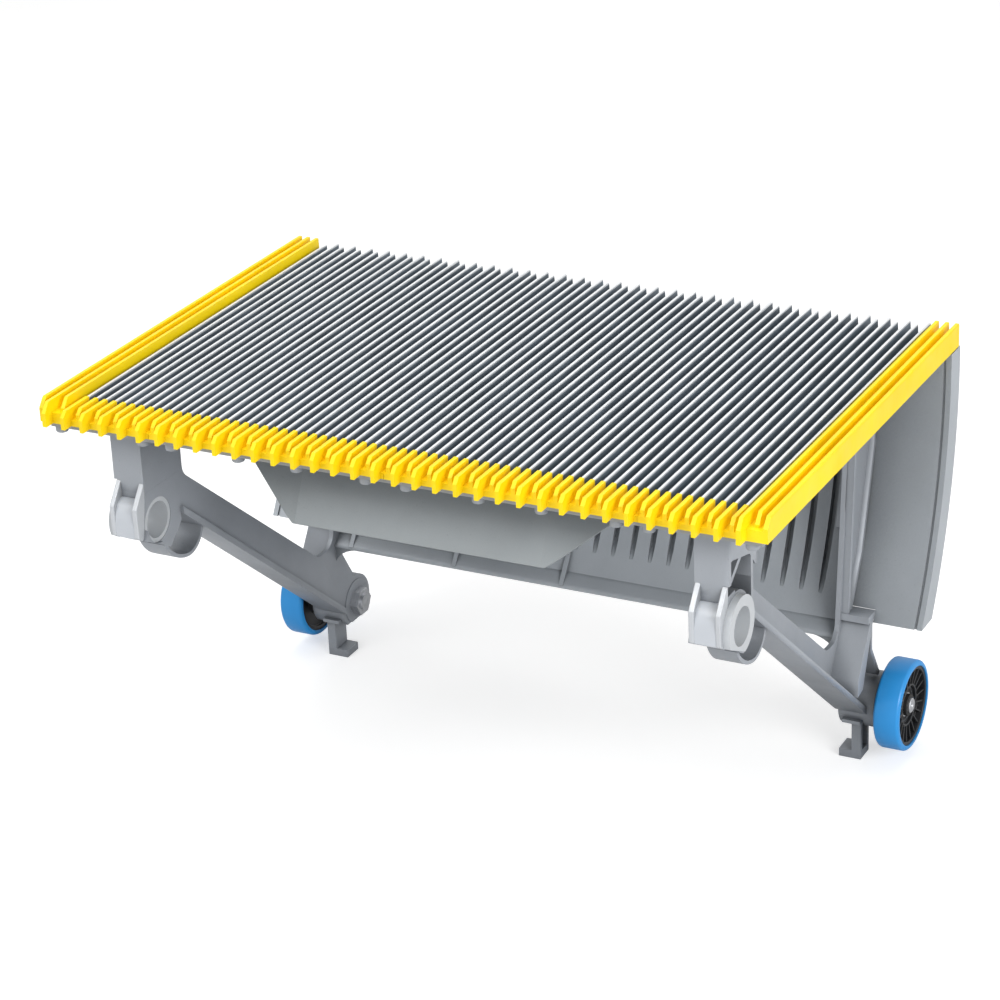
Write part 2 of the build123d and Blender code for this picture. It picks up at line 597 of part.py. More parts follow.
save("tread_plate", tread_plate())
save("riser_plate", riser_plate())
save("stiffening_web", stiffening_web())
half = METAL_CLEATS // 2
save("left_outer_rear_strip", rear_strip(-half, OUTER_STRIP_CLEATS - half))
save("left_inner_rear_strip", rear_strip(OUTER_STRIP_CLEATS - half, 0))
save("right_inner_rear_strip", rear_strip(0, half - OUTER_STRIP_CLEATS))
save("right_outer_rear_strip", rear_strip(half - OUTER_STRIP_CLEATS, half))
save("left_side_strip", side_strip(-1))
save("right_side_strip", side_strip(1))
save_pair("bracket", bracket())
save("axle_seats", both(axle_seat()))
save("axle_bushes", both(axle_bush()))
save("seat_caps", both(seat_cap()))
save_pair("tyre", tyre())
save_pair("hub", hub())
save_pair("bearing_outer_ring", bearing_outer_ring())
save("bearing_inner_rings", both(bearing_inner_ring()))
save("wheel_axles", both(wheel_axle()))
save("wheel_nuts", both(nut()))
save_pair("hook", hook())
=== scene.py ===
import math

import bmesh
import bpy
from mathutils import Matrix, Vector


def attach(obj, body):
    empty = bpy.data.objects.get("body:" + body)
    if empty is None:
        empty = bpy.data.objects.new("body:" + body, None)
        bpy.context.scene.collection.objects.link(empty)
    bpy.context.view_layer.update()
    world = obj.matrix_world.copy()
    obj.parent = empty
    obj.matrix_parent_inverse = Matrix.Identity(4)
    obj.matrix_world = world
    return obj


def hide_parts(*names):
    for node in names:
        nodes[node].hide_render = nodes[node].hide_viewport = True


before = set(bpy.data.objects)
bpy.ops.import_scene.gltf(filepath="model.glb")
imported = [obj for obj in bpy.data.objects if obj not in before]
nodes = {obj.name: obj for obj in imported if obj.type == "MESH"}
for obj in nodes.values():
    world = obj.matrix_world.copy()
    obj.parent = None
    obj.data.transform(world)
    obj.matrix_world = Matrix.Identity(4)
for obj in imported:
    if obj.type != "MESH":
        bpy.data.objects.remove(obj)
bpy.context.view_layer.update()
scene = bpy.context.scene

# Lengths are written in millimetres, as in the CAD source, and turned into metres on the way in.
MM = 0.001

# Camera, fitted to the photo, with its place in metres.
CAMERA_PLACE = (1.0354, -1.8282, 0.9967)
CAMERA_RIGHT = (0.89221, 0.44978, -0.04053)
CAMERA_UP = (-0.15174, 0.38311, 0.91116)
FOCAL_LENGTH = 110.97
SENSOR_WIDTH = 36.0
VIEW_END = 30.0

# Tread and the pitch of its comb, which the riser shares.
PITCH = 25.4 / 3
HALF_WIDTH = 302.0
TREAD_Z = 105.0
DECK_TOP = TREAD_Z - 10
DECK_BOTTOM = DECK_TOP - 5

# Riser, rolled round one centre, down to the lower edge that the photo shows. It ends higher
# outside the brackets, and higher still over the ledges of their rear legs.
RISER_Y = -46.0
RISER_Z = 80.0
RISER_INNER_R = 383.0
RISER_FLOOR_R = RISER_INNER_R + 10
RISER_TIP_R = RISER_FLOOR_R + 11
RISER_LOW = -139.6
RISER_SIDE_LOW = -126.0
RISER_LEDGE_LOW = -117.0
RISER_STEPS = 30
HALF_CLEATS = 36
CLEAT_HALF = 1.25
CLEAT_DRAFT = 0.35
CLEAT_ROUND = 0.4
RECESSES = 26
RECESS_TAPER = 0.72

# Stiffening web: the sheet leans forward and sweeps back outside its creases.
SHEET_FRONT = 31.0
SHEET_THICK = 3.4
SHEET_LEAN = 0.5
SHEET_CREASE = 105.0
SHEET_SWEEP = 17.0 / 95

# Side brackets and their seats.
WEB_OUT = HALF_WIDTH - 65
WEB_IN = WEB_OUT - 4
LEG_FLANGE_OUT = WEB_OUT + 23
BOLT_FLANGE_IN = 217.5
FLANGE_TOP = DECK_BOTTOM - 0.2
BOLT_X = WEB_IN - 10
BOLT_Z = 80.0
BOLT_ROWS = (75, 190, 300)
CAP_IN = WEB_OUT + 0.4
CAP_OUT = CAP_IN + 17
CHEEKS = ((WEB_IN + 0.2, CAP_IN + 0.2), (CAP_OUT - 0.2, CAP_OUT + 3.8))
SEAT_BORE_R = 18.7

# Trailer wheels.
WHEEL_Y = 295.0
WHEEL_Z = -205.0
WHEEL_R = 38.0
WHEEL_IN = WEB_OUT + 31
WHEEL_OUT = WHEEL_IN + 22
WHEEL_MID = (WHEEL_IN + WHEEL_OUT) / 2
TYRE_BORE_R = 33.5
HUB_R = TYRE_BORE_R - 0.05
HUB_SPOKES = 20
SPOKE_NEAR_R = 17.4
SPOKE_FAR_R = 31.0
BEARING_R = 16.0
BEARING_OUT = WHEEL_MID + 4.5

# Screw bosses under the rear strips, each with its place in pitches from the middle.
BOSS_STEPS = (-34.3, -25.5, -22.5, -15.5, -9.5, -2.5, 1.5, 8.5, 14.5, 21.5, 24.5, 33.8)
BOSS_Y = -34.0
BOSS_TOP = 86.2
BOSS_LOW = 80.0
BOSS_R = 5.0

# The floor lies just under the hooks.
FLOOR_Z = -252.7
FLOOR_HALF = 12000.0

WHITE = (1.0, 1.0, 1.0, 1.0)

# A Mix node has sockets for each kind of data. These are the ones for colours.
MIX_A, MIX_B, MIX_RESULT = 6, 7, 2


def place_camera():
    """Sets the camera where the photographer stood."""
    data = bpy.data.cameras.new("camera")
    data.lens = FOCAL_LENGTH
    data.sensor_width = SENSOR_WIDTH
    data.clip_end = VIEW_END
    camera = bpy.data.objects.new("camera", data)
    right = Vector(CAMERA_RIGHT)
    up = Vector(CAMERA_UP)
    turn = Matrix((right, up, right.cross(up))).transposed().to_4x4()
    camera.matrix_world = Matrix.Translation(CAMERA_PLACE) @ turn
    scene.collection.objects.link(camera)
    scene.camera = camera


place_camera()


# Colours and materials.
def linear(r, g, b):
    """An 8-bit screen colour as linear light."""
    out = []
    for c in (r, g, b):
        c = c / 255
        out.append(c / 12.92 if c <= 0.04045 else ((c + 0.055) / 1.055) ** 2.4)
    return (*out, 1.0)


def grey(value):
    return (value, value, value, 1.0)


def darker(colour, share):
    return (*[c * share for c in colour[:3]], 1.0)


class Shade:
    """A node material in object coordinates, with noise, stains, painted shade and bump to build on."""

    def __init__(self, name, rough=0.5, metal=0.0, spec=0.5):
        self.mat = bpy.data.materials.new(name)
        self.mat.use_nodes = True
        self.tree = self.mat.node_tree
        self.bsdf = self.tree.nodes["Principled BSDF"]
        self.bsdf.inputs["Roughness"].default_value = rough
        self.bsdf.inputs["Metallic"].default_value = metal
        self.bsdf.inputs["Specular IOR Level"].default_value = spec
        self.coord = self.add("ShaderNodeTexCoord").outputs["Object"]
        self.normal = None

    def add(self, kind, sockets=None, **settings):
        """A new node with its settings and the values of its input sockets."""
        node = self.tree.nodes.new(kind)
        for name, value in settings.items():
            setattr(node, name, value)
        for socket, value in (sockets or {}).items():
            node.inputs[socket].default_value = value
        return node

    def link(self, a, b):
        self.tree.links.new(a, b)

    def noise(self, scale, detail=3.0, rough=0.55, stretch=None):
        """Noise in object coordinates, drawn out along an axis where stretch says so."""
        node = self.add("ShaderNodeTexNoise", {"Scale": scale, "Detail": detail, "Roughness": rough})
        source = self.coord
        if stretch:
            place = self.add("ShaderNodeMapping", {"Scale": stretch})
            self.link(source, place.inputs["Vector"])
            source = place.outputs["Vector"]
        self.link(source, node.inputs["Vector"])
        return node.outputs["Fac"]

    def ramp(self, source, *stops):
        """A colour that runs through stops of (place, colour)."""
        node = self.add("ShaderNodeValToRGB")
        for element, (place, colour) in zip(node.color_ramp.elements, stops):
            element.position = place
            element.color = colour
        self.link(source, node.inputs["Fac"])
        return node.outputs["Color"]

    def mix(self, factor, a, b):
        node = self.add("ShaderNodeMix", data_type="RGBA")
        for socket, value in ((node.inputs["Factor"], factor), (node.inputs[MIX_A], a),
                              (node.inputs[MIX_B], b)):
            if isinstance(value, bpy.types.NodeSocket):
                self.link(value, socket)
            else:
                socket.default_value = value
        return node.outputs[MIX_RESULT]

    def spread(self, source, low, high, at_low=0.0, at_high=1.0):
        """Turns the range from low to high into the one from at_low to at_high."""
        node = self.add("ShaderNodeMapRange", {"From Min": low, "From Max": high,
                                               "To Min": at_low, "To Max": at_high})
        self.link(source, node.inputs["Value"])
        return node.outputs["Result"]

    def stain_and_shade(self, tone, colour, source, low, high, at_low, at_high):
        """Lays a colour over the tone, by a share that follows the source; used for stains and for
        painted shade.
        """
        return self.mix(self.spread(source, low, high, at_low, at_high), tone, colour)

    def clouded(self, base, scale, detail, low, high):
        """The base colour with soft clouds from a darker to a lighter share of it."""
        clouds = self.noise(scale, detail)
        return self.ramp(clouds, (0.3, darker(base, low)), (0.7, darker(base, high)))

    def bump(self, source, strength, distance):
        node = self.add("ShaderNodeBump", {"Strength": strength, "Distance": distance})
        self.link(source, node.inputs["Height"])
        if self.normal is not None:
            self.link(self.normal, node.inputs["Normal"])
        self.normal = node.outputs["Normal"]
        self.link(self.normal, self.bsdf.inputs["Normal"])

    def colour(self, source):
        self.link(source, self.bsdf.inputs["Base Color"])

    def rough(self, source):
        self.link(source, self.bsdf.inputs["Roughness"])

    def corner(self, distance):
        """How open a place is, from 0 in a corner to 1 in the open."""
        return self.add("ShaderNodeAmbientOcclusion", {"Distance": distance}, samples=6).outputs["AO"]

    def height(self):
        split = self.add("ShaderNodeSeparateXYZ")
        self.link(self.coord, split.inputs["Vector"])
        return split.outputs["Z"]

    def painted(self, base, shade, near=0.15, far=0.85):
        """Cast paint with clouds, streaks and specks, dirt with painted shade in tight corners, and
        painted shade in deep places.
        """
        tone = self.clouded(base, 9.0, 4.0, 0.90, 1.06)
        streaks = self.noise(30.0, 3.0, stretch=(1.0, 1.0, 0.12))
        tone = self.stain_and_shade(tone, darker(base, 0.72), streaks, 0.45, 0.75, 0.0, 0.10)
        specks = self.noise(420.0, 2.0)
        tone = self.stain_and_shade(tone, darker(base, 0.55), specks, 0.66, 0.74, 0.0, 0.22)
        # Tight corners darkened by a short occlusion mask: dirt together with painted shade.
        tone = self.stain_and_shade(tone, darker(base, 0.45), self.corner(0.012), 0.35, 0.9, 0.45, 0.0)
        # Painted shade: places that a long occlusion mask finds closed in are darkened, by the share
        # that shade sets.
        return self.stain_and_shade(tone, darker(base, 0.3), self.corner(0.16), near, far, shade, 0.0)


def cast_paint(name, base, rough=0.42, shade=0.5, near=0.15, far=0.85):
    """Satin paint over a die casting: soft clouds, fine orange peel, dust and painted shade in the
    corners, and painted shade deep inside.
    """
    s = Shade(name, rough=rough, metal=0.2)
    s.colour(s.painted(base, shade, near, far))
    s.rough(s.spread(s.noise(26.0), 0.3, 0.7, rough - 0.07, rough + 0.12))
    s.bump(s.noise(900.0, 2.0), 0.10, 0.0004)
    s.bump(s.noise(70.0, 2.0), 0.10, 0.0012)
    return s.mat


def tread_metal(name, paint):
    """Bright machined cleat tops on slate-grey cast grooves, with paint under the deck."""
    s = Shade(name, rough=0.4, metal=0.3)
    dark = linear(110, 121, 131)
    z = s.height()
    grime = s.noise(60.0, 4.0, stretch=(1.0, 0.25, 1.0))
    groove = s.ramp(grime, (0.35, darker(dark, 0.75)), (0.7, darker(dark, 1.25)))
    lines = s.noise(900.0, 2.0, stretch=(1.0, 0.02, 1.0))
    bright = s.ramp(lines, (0.3, linear(222, 225, 228)), (0.7, linear(248, 249, 250)))
    top = s.spread(z, (TREAD_Z - 1.6) * MM, (TREAD_Z - 0.6) * MM)
    tone = s.mix(top, groove, bright)
    under = s.spread(z, (DECK_TOP - 0.7) * MM, (DECK_TOP - 0.3) * MM, 1.0, 0.0)
    # Under the deck: cast paint, with painted shade in corners and deep places.
    s.colour(s.mix(under, tone, s.painted(paint, 0.5)))
    s.rough(s.spread(top, 0.0, 1.0, 0.55, 0.33))
    s.bump(lines, 0.10, 0.0003)
    s.bump(s.noise(700.0, 2.0), 0.12, 0.0004)
    return s.mat


def moulded(name, base, rough=0.38, grain=0.08, spec=0.5):
    """Moulded plastic with a fine grain and slightly worn, duller patches."""
    s = Shade(name, rough=rough, spec=spec)
    tone = s.clouded(base, 16.0, 3.0, 0.93, 1.05)
    scuffs = s.noise(160.0, 5.0, 0.7)
    s.colour(s.stain_and_shade(tone, darker(base, 0.78), scuffs, 0.62, 0.75, 0.0, 0.18))
    s.rough(s.spread(s.noise(40.0), 0.3, 0.7, rough - 0.06, rough + 0.12))
    s.bump(s.noise(1100.0, 2.0), grain, 0.0003)
    return s.mat


def turned_metal(name, base, rough=0.28):
    """Zinc-plated steel with faint turning marks and a few dull spots."""
    s = Shade(name, rough=rough, metal=0.9)
    marks = s.noise(1400.0, 2.0, stretch=(1.0, 0.1, 0.1))
    tone = s.ramp(marks, (0.3, darker(base, 0.85)), (0.7, darker(base, 1.08)))
    spots = s.noise(240.0, 4.0)
    s.colour(s.stain_and_shade(tone, darker(base, 0.55), spots, 0.6, 0.72, 0.0, 0.35))
    s.rough(s.spread(spots, 0.4, 0.7, rough, rough + 0.22))
    s.bump(marks, 0.12, 0.0002)
    return s.mat


# Paints for the castings; shade sets how dark their painted shade in deep places gets.
PAINT = cast_paint("cast_paint", linear(164, 169, 176), shade=0.66)
SHEET = cast_paint("cast_paint_sheet", linear(152, 158, 161), shade=0.66)
# The riser's copy of the paint, with a lighter base and stronger painted shade in deep places.
INNER_PAINT_DEEP_SHADE = cast_paint("cast_paint_inner_deep_shade", linear(178, 184, 190), shade=0.85, near=0.35, far=0.9)
TREAD = tread_metal("tread_aluminium", linear(170, 174, 180))
YELLOW = moulded("yellow_plastic", linear(255, 222, 14), 0.38, spec=0.35)
BUSH = moulded("bush_plastic", linear(192, 196, 200), 0.34)
CAP = moulded("cap_plastic", linear(194, 199, 206), 0.34)
CHEEK = cast_paint("cast_paint_cheeks", linear(200, 204, 209), 0.36)
STEEL = turned_metal("steel", linear(196, 198, 202))
DARK_STEEL = turned_metal("dark_steel", linear(92, 94, 98), 0.36)
TYRE = moulded("tyre_polyurethane", linear(42, 150, 224), 0.34, grain=0.05)
HUB = moulded("hub_plastic", linear(26, 27, 30), 0.36, grain=0.10)
SEAL = moulded("seal_rubber", linear(18, 18, 20), 0.55, grain=0.12)

# How the CAD nodes look: a word that the node's name holds, its material, and how wide its soft
# edges are.
NODE_LOOKS = (
    ("strip", YELLOW, 0.35),
    ("bracket", PAINT, 0.4),
    ("axle_seats", PAINT, 0.4),
    ("hook", PAINT, 0.4),
    ("stiffening_web", PAINT, 0.4),
    ("riser_plate", PAINT, 0),
    ("tread_plate", TREAD, 0),
    ("axle_bushes", BUSH, 0.3),
    ("seat_caps", CAP, 0.3),
    ("wheel_axles", STEEL, 0.3),
    ("wheel_nuts", STEEL, 0.3),
    ("inner_rings", STEEL, 0.3),
    ("outer_ring", DARK_STEEL, 0),
    ("hub", HUB, 0),
    ("tyre", TYRE, 0),
)


# Pieces and their meshes.
def soften(obj, width, segments=2, angle=35.0):
    """Rounds the edges that are sharper than the angle."""
    mod = obj.modifiers.new("soft edges", "BEVEL")
    mod.width = width * MM
    mod.segments = segments
    mod.limit_method = "ANGLE"
    mod.angle_limit = math.radians(angle)
    mod.harden_normals = True


def finish_piece(obj, material, body, smooth=35.0, bevel=0.0, segments=2):
    """Gives a piece its material, smooth faces and soft edges, and the body that it rides on."""
    obj.data.materials.clear()
    obj.data.materials.append(material)
    for face in obj.data.polygons:
        face.use_smooth = True
    obj.data.set_sharp_from_angle(angle=math.radians(smooth))
    if bevel:
        soften(obj, bevel, segments)
    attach(obj, body)


def from_bmesh(name, bm):
    bmesh.ops.recalc_face_normals(bm, faces=bm.faces)
    data = bpy.data.meshes.new(name)
    bm.to_mesh(data)
    bm.free()
    obj = bpy.data.objects.new(name, data)
    scene.collection.objects.link(obj)
    return obj


def vertex(bm, point):
    return bm.verts.new([c * MM for c in point])


def bridge(bm, a, b):
    """Joins two rings of vertices with faces."""
    for k in range(len(a)):
        m = (k + 1) % len(a)
        bm.faces.new((a[k], a[m], b[m], b[k]))


def solid(bm, rings):
    """A closed solid through rings of (x, y, z) points."""
    rings = [[vertex(bm, point) for point in ring] for ring in rings]
    for a, b in zip(rings, rings[1:]):
        bridge(bm, a, b)
    bm.faces.new(rings[0][::-1])
    bm.faces.new(rings[-1])


def prism(bm, outline, x_from, x_to, way=1):
    """Pushes a closed (y, z) outline across the step."""
    solid(bm, [[(way * x, y, z) for y, z in outline] for x in (x_from, x_to)])


def rectangle(y_from, y_to, z_from, z_to):
    return ((y_from, z_from), (y_to, z_from), (y_to, z_to), (y_from, z_to))


def circle(x, y, z, radius, count=32, start=0.0):
    """Points round a level circle, or round a polygon of that many corners."""
    turns = [start + 2 * math.pi * k / count for k in range(count)]
    return [(x + radius * math.cos(turn), y + radius * math.sin(turn), z) for turn in turns]


def wheel_rings(outline, way, segments):
    """Turns (x, radius) points about a wheel's axle."""
    turns = [2 * math.pi * k / segments for k in range(segments)]
    return [[(way * x, WHEEL_Y + r * math.cos(turn), WHEEL_Z + r * math.sin(turn)) for turn in turns]
            for x, r in outline]


def lathe(bm, outline, way, segments=96):
    """A ring about a wheel's axle, with the outline as its section."""
    rings = [[vertex(bm, point) for point in ring] for ring in wheel_rings(outline, way, segments)]
    for a, b in zip(rings, rings[1:] + rings[:1]):
        bridge(bm, a, b)


def cut_away(obj, bm):
    """Takes the solids in a mesh out of a piece."""
    tool = from_bmesh("cutter", bm)
    mod = obj.modifiers.new("cuts", "BOOLEAN")
    mod.object = tool
    mod.operation = "DIFFERENCE"
    mod.solver = "EXACT"
    mod.use_self = True
    graph = bpy.context.evaluated_depsgraph_get()
    data = bpy.data.meshes.new_from_object(obj.evaluated_get(graph))
    obj.modifiers.clear()
    obj.data = data
    bpy.data.objects.remove(tool)


# Carried-over CAD nodes.
def dress_node(obj, material, bevel):
    if obj.material_slots:
        for slot in obj.material_slots:
            slot.material = material
    else:
        obj.data.materials.append(material)
    if bevel:
        soften(obj, bevel, angle=40)


for name, obj in nodes.items():
    for word, material, bevel in NODE_LOOKS:
        if word in name:
            dress_node(obj, material, bevel)


# Trailer wheels: tyre with rounded edges, ribbed hub, bearing ring and seals.
def wheel_tyre(way, body):
    shoulder = ((0.0, 2.4), (0.5, 1.4), (1.5, 0.4), (2.6, 0.0))
    outline = [(WHEEL_IN, TYRE_BORE_R)]
    outline += [(WHEEL_IN + inset, WHEEL_R - drop) for inset, drop in shoulder]
    outline.append((WHEEL_MID, WHEEL_R))
    outline += [(WHEEL_OUT - inset, WHEEL_R - drop) for inset, drop in reversed(shoulder)]
    outline.append((WHEEL_OUT, TYRE_BORE_R))
    bm = bmesh.new()
    lathe(bm, outline, way, 128)
    obj = from_bmesh(body + "_tyre_band", bm)
    finish_piece(obj, TYRE, body, 30)
    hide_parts(body.split("_")[0] + "_tyre")


def wheel_hub(way, body):
    inner, outer = WHEEL_IN + 1, WHEEL_OUT - 1
    deep = outer - 6
    inner_side = [(inner, HUB_R), (inner, 30.6), (inner + 0.4, 30.2), (inner + 2.6, 30.0),
                  (inner + 3, 29.6), (inner + 3, 19.0), (inner + 2.6, 18.5), (inner + 0.9, 18.3),
                  (inner + 0.5, 17.9), (inner + 0.5, 16.4), (inner + 0.9, BEARING_R)]
    outer_side = [(outer - 3.4, BEARING_R), (outer - 3, 16.3), (outer - 3, 17.6), (outer - 3.4, 18.0),
                  (deep + 0.4, 18.2), (deep, 18.6), (deep, 29.6), (deep + 0.4, 30.1),
                  (outer - 0.4, 30.5), (outer, 30.9), (outer, HUB_R)]
    bm = bmesh.new()
    lathe(bm, inner_side + outer_side, way, 120)
    for k in range(HUB_SPOKES):
        hub_spoke(bm, way, 2 * math.pi * k / HUB_SPOKES, deep, outer)
    obj = from_bmesh(body + "_hub_moulding", bm)
    finish_piece(obj, HUB, body, 35, 0.2)
    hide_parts(body.split("_")[0] + "_hub")


def hub_spoke(bm, way, turn, deep, outer):
    """A rib from the collar to the rim, thinner at its top and lower at the collar."""
    c, s = math.cos(turn), math.sin(turn)
    foot = ((deep - 0.5, SPOKE_NEAR_R, 0.9), (deep - 0.5, SPOKE_FAR_R, 1.1))
    top = ((outer - 2.8, SPOKE_NEAR_R, 0.55), (outer - 1.2, SPOKE_FAR_R, 0.7))
    corners = []
    for x, r, half in foot + top:
        for side in (-half, half):
            corners.append(vertex(bm, (way * x, WHEEL_Y + r * c - side * s, WHEEL_Z + r * s + side * c)))
    for quad in ((0, 1, 3, 2), (4, 6, 7, 5), (0, 4, 5, 1), (2, 3, 7, 6), (0, 2, 6, 4), (1, 5, 7, 3)):
        bm.faces.new([corners[q] for q in quad])


def mirrored_ring(name, way, half_outline):
    """A ring with the same outline on both sides of the wheel's middle."""
    outline = [(WHEEL_MID + x, r) for x, r in half_outline]
    outline += [(WHEEL_MID - x, r) for x, r in reversed(half_outline)]
    bm = bmesh.new()
    lathe(bm, outline, way)
    return from_bmesh(name, bm)


def wheel_bearing(way, body):
    obj = mirrored_ring(body + "_bearing_race", way, ((4.5, BEARING_R), (4.5, 13.4), (4.1, 13.1)))
    finish_piece(obj, DARK_STEEL, body, 30)
    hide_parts(body.split("_")[0] + "_bearing_outer_ring")
    seals = mirrored_ring(body + "_bearing_seals", way,
                          ((3.8, 13.2), (3.6, 12.4), (3.9, 11.8), (3.6, 10.1)))
    finish_piece(seals, SEAL, body, 50)


for way, body in ((1, "right_wheel"), (-1, "left_wheel")):
    wheel_tyre(way, body)
    wheel_hub(way, body)
    wheel_bearing(way, body)


# Axle ends: a dark washer over the pin's head and the bright end of the pin.
def axle_end(way, word):
    washer = ((0.1, 9.15), (3.0, 9.15), (3.5, 8.6), (3.5, 6.7), (3.1, 6.3), (0.1, 6.3))
    bm = bmesh.new()
    lathe(bm, [(BEARING_OUT + x, r) for x, r in washer], way, 64)
    finish_piece(from_bmesh(word + "_axle_washer", bm), SEAL, "step_frame", 30)
    tip = ((2.0, 6.25), (4.6, 6.25), (5.3, 5.5), (5.3, 2.2), (4.2, 1.2))
    bm = bmesh.new()
    solid(bm, wheel_rings([(BEARING_OUT + x, r) for x, r in tip], way, 64))
    finish_piece(from_bmesh(word + "_axle_tip", bm), STEEL, "step_frame", 30)


for way, word in ((1, "right"), (-1, "left")):
    axle_end(way, word)


# Stiffening web under the front of the tread.
def stiffening_web():
    """A bent sheet whose slanted ends reach, at each height, as far out as its row says."""
    rows = ((FLANGE_TOP, 200.0), (52.0, 151.5), (24.5, 115.5), (19.5, 107.5))
    columns = []
    for way, at_end in ((-1, True), (-1, False), (1, False), (1, True)):
        column = []
        for z, reach in rows:
            x = reach if at_end else SHEET_CREASE
            y = SHEET_FRONT + SHEET_SWEEP * (x - SHEET_CREASE) - SHEET_LEAN * (FLANGE_TOP - z)
            column.append((way * x, y, z))
        columns.append(column)
    bm = bmesh.new()
    front, rear = [[[vertex(bm, (x, y + back, z)) for x, y, z in column] for column in columns]
                   for back in (0.0, SHEET_THICK)]
    for side in (front, rear):
        for k in range(3):
            for m in range(3):
                bm.faces.new((side[k][m], side[k][m + 1], side[k + 1][m + 1], side[k + 1][m]))
    rim = [(0, m) for m in range(4)] + [(1, 3), (2, 3)]
    rim += [(3, m) for m in reversed(range(4))] + [(2, 0), (1, 0)]
    bridge(bm, [front[k][m] for k, m in rim], [rear[k][m] for k, m in rim])
    obj = from_bmesh("stiffening_sheet", bm)
    finish_piece(obj, SHEET, "step_frame", 5, 1.1, 3)
    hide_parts("stiffening_web")


stiffening_web()


# Riser: one curved casting with cleats outside and tapered recesses inside.
def arc_turn(radius, z):
    return math.asin((z - RISER_Z) / radius)


def arc_point(radius, turn):
    return (RISER_Y + radius * math.cos(turn), RISER_Z + radius * math.sin(turn))


def riser_section():
    """The (x, radius) section: cleats outside, and a fine groove near each end inside."""
    first, last = -HALF_CLEATS, HALF_CLEATS - 1
    section = [(-HALF_WIDTH, RISER_INNER_R)]
    for n in range(first, last + 1):
        middle = (n + 0.5) * PITCH
        left = -HALF_WIDTH if n == first else middle - CLEAT_HALF
        right = HALF_WIDTH if n == last else middle + CLEAT_HALF
        if n > first:
            section.append((left - CLEAT_DRAFT, RISER_FLOOR_R))
        section += [(left, RISER_TIP_R - CLEAT_ROUND), (left + CLEAT_ROUND, RISER_TIP_R),
                    (right - CLEAT_ROUND, RISER_TIP_R), (right, RISER_TIP_R - CLEAT_ROUND)]
        if n < last:
            section.append((right + CLEAT_DRAFT, RISER_FLOOR_R))
    section.append((HALF_WIDTH, RISER_INNER_R))
    groove = [(HALF_WIDTH - x, RISER_INNER_R + depth)
              for x, depth in ((4.4, 0.0), (4.8, 1.3), (6.2, 1.3), (6.6, 0.0))]
    return section + groove + [(-x, r) for x, r in reversed(groove)]


def riser():
    section = riser_section()
    rings = []
    for k in range(RISER_STEPS + 1):
        ring = []
        for x, r in section:
            high, low = arc_turn(r, DECK_BOTTOM), arc_turn(r, RISER_LOW)
            ring.append((x, *arc_point(r, high + (low - high) * k / RISER_STEPS)))
        rings.append(ring)
    bm = bmesh.new()
    solid(bm, rings)
    obj = from_bmesh("riser_casting", bm)
    front, rear, low = 200, 420, -200
    ends = bmesh.new()
    for way in (-1, 1):
        prism(ends, rectangle(front, rear, RISER_SIDE_LOW, low), LEG_FLANGE_OUT, HALF_WIDTH + 18, way)
        prism(ends, rectangle(front, rear, RISER_LEDGE_LOW, low), WEB_IN, LEG_FLANGE_OUT + 0.5, way)
    cut_away(obj, ends)
    recesses = bmesh.new()
    for k in range(RECESSES):
        tapered_recess(recesses, (k - RECESSES / 2 + 0.5) * 2 * PITCH)
    cut_away(obj, recesses)
    finish_piece(obj, INNER_PAINT_DEEP_SHADE, "step_frame", 25)
    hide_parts("riser_plate")


def tapered_recess(bm, middle):
    """A long groove that gets shallow and runs out at its lower end."""
    open_r = RISER_INNER_R - 3
    rings = []
    for z, half, depth in ((60, 3.2, 7.5), (0, 3.2, 7.5), (-60, 3.1, 7.0), (-85, 3.0, 5.6),
                           (-100, 2.8, 3.2), (-108, 2.5, 1.2), (-112, 1.9, 0.1)):
        turn = arc_turn(RISER_INNER_R, z)
        floor_r = RISER_INNER_R + depth
        rings.append([(middle + side * half, *arc_point(r, turn))
                      for side, r in ((-1, open_r), (1, open_r), (RECESS_TAPER, floor_r),
                                      (-RECESS_TAPER, floor_r))])
    solid(bm, rings)


riser()


def bracket_casting(name, way):
    """The bracket, with its bolt flange kept clear of the riser's outermost recess."""
    obj = bpy.data.objects.new(name + "_casting", nodes[name].data.copy())
    obj.matrix_world = nodes[name].matrix_world.copy()
    scene.collection.objects.link(obj)
    front, rear, top, low = 240, 350, 59, -135
    room = bmesh.new()
    prism(room, rectangle(front, rear, top, low), BOLT_FLANGE_IN - 9.5, BOLT_FLANGE_IN, way)
    cut_away(obj, room)
    finish_piece(obj, PAINT, "step_frame", 35, 0.4)
    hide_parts(name)


for way, name in ((1, "right_bracket"), (-1, "left_bracket")):
    bracket_casting(name, way)


# Trim on the riser's inner face.
def inner_trim(name, bm, smooth, bevel=0.0):
    finish_piece(from_bmesh(name, bm), INNER_PAINT_DEEP_SHADE, "step_frame", smooth, bevel)


def riser_flange():
    """Flange under the tread."""
    bm = bmesh.new()
    prism(bm, rectangle(298, 336.5, FLANGE_TOP - 5.6, FLANGE_TOP), -275, 275)
    inner_trim("riser_flange", bm, 30, 0.6)


def riser_lip():
    """Rounded lip along the lower edge, from bracket to bracket."""
    section = []
    for up, out in ((0, 3.4), (1.8, 4.4), (4.2, 4.2), (7.0, 2.8), (9.4, 1.2), (11.2, 0.2),
                    (11.2, -2.0), (0, -3.0)):
        y, z = arc_point(RISER_INNER_R, arc_turn(RISER_INNER_R, RISER_LOW + up))
        section.append((y - out, z))
    bm = bmesh.new()
    prism(bm, section, -WEB_IN, WEB_IN)
    inner_trim("riser_lip", bm, 40)


